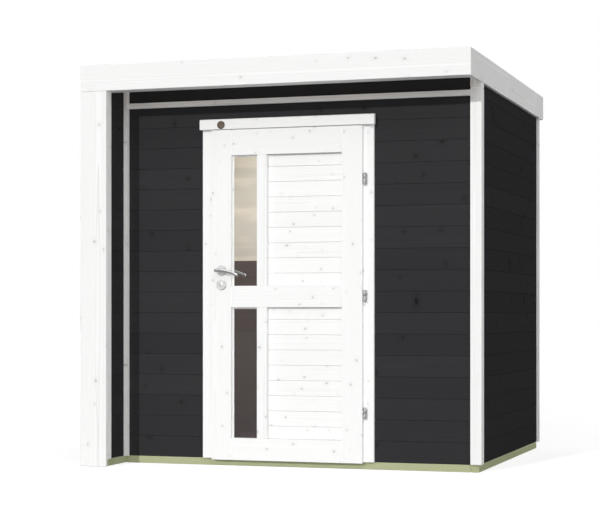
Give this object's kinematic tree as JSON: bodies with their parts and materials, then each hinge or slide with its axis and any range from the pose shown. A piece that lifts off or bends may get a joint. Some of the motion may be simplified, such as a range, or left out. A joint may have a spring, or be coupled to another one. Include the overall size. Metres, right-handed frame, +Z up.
{
  "type": "wooden garden shed",
  "caption": "Flat-roofed wooden garden shed with boarded walls, a white roof edge and trims, a side wing wall and a hinged boarded and glazed door with a lever handle.",
  "frame": {"origin": "on the ground under the middle of the roof's outline", "axes": "+Z up, the front with the door faces -Y, +X to the right seen from the front"},
  "size_m": [2.17, 2.13, 2.185],
  "materials": {
    "white_wood": "satin white paint",
    "anthracite_wood": "matte anthracite paint",
    "treated_wood": "pressure treated, sawn",
    "bare_wood": "planed softwood",
    "stained_wood": "dark stain",
    "roof_membrane": "matte sheet",
    "glass": "clear",
    "steel": "satin",
    "bronze": "dark aged"
  },
  "bodies": {
    "shed": {"base_front": "treated_wood", "base_rear": "treated_wood", "base_sides": "treated_wood", "base_wing": "treated_wood", "floor_joists": "treated_wood", "floor_boards": "stained_wood", "corner_posts": "bare_wood", "front_wall_left": "anthracite_wood", "front_wall_right": "anthracite_wood", "front_wall_top": "anthracite_wood", "right_wall": "anthracite_wood", "left_wall": "anthracite_wood", "rear_wall": "anthracite_wood", "wing_lining": "anthracite_wood", "wing_posts": "bare_wood", "wing_front_board": "white_wood", "wing_edge_trims": "white_wood", "wing_corner_trim": "white_wood", "corner_trim_front": "white_wood", "corner_trims_rear": "white_wood", "front_batten": "white_wood", "fascia_front": "white_wood", "fascia_sides": "white_wood", "fascia_rear": "white_wood", "front_edge_beam": "white_wood", "rafters": "bare_wood", "eaves_blocks": "bare_wood", "roof_deck": "bare_wood", "roof_membrane": "roof_membrane", "door_jambs": "white_wood", "door_head": "white_wood", "door_sill": "white_wood", "door_cap": "white_wood", "cap_disc": "bronze", "hinge_frame_parts": "steel"},
    "door": {"door_stiles": "white_wood", "door_rails": "white_wood", "door_mullions": "white_wood", "door_panels": "white_wood", "door_glass": "glass", "glazing_beads": "white_wood", "door_rosettes": "steel", "hinge_leaf_parts": "steel"},
    "lever": {"lever_outside": "steel", "lever_inside": "steel"}
  },
  "joints": [
    {"name": "door_swing", "type": "hinge", "parent": "shed", "child": "door", "pos_m": [0.452, -0.798, 0], "axis": [0, 0, 1], "range_deg": [0, 120]},
    {"name": "lever_turn", "type": "hinge", "parent": "door", "child": "lever", "pos_m": [-0.359, -0.786, 1.069], "axis": [0, 1, 0], "range_deg": [0, 40], "stiffness_Nm_per_rad": 1.5, "springref_deg": -20.05}
  ]
}
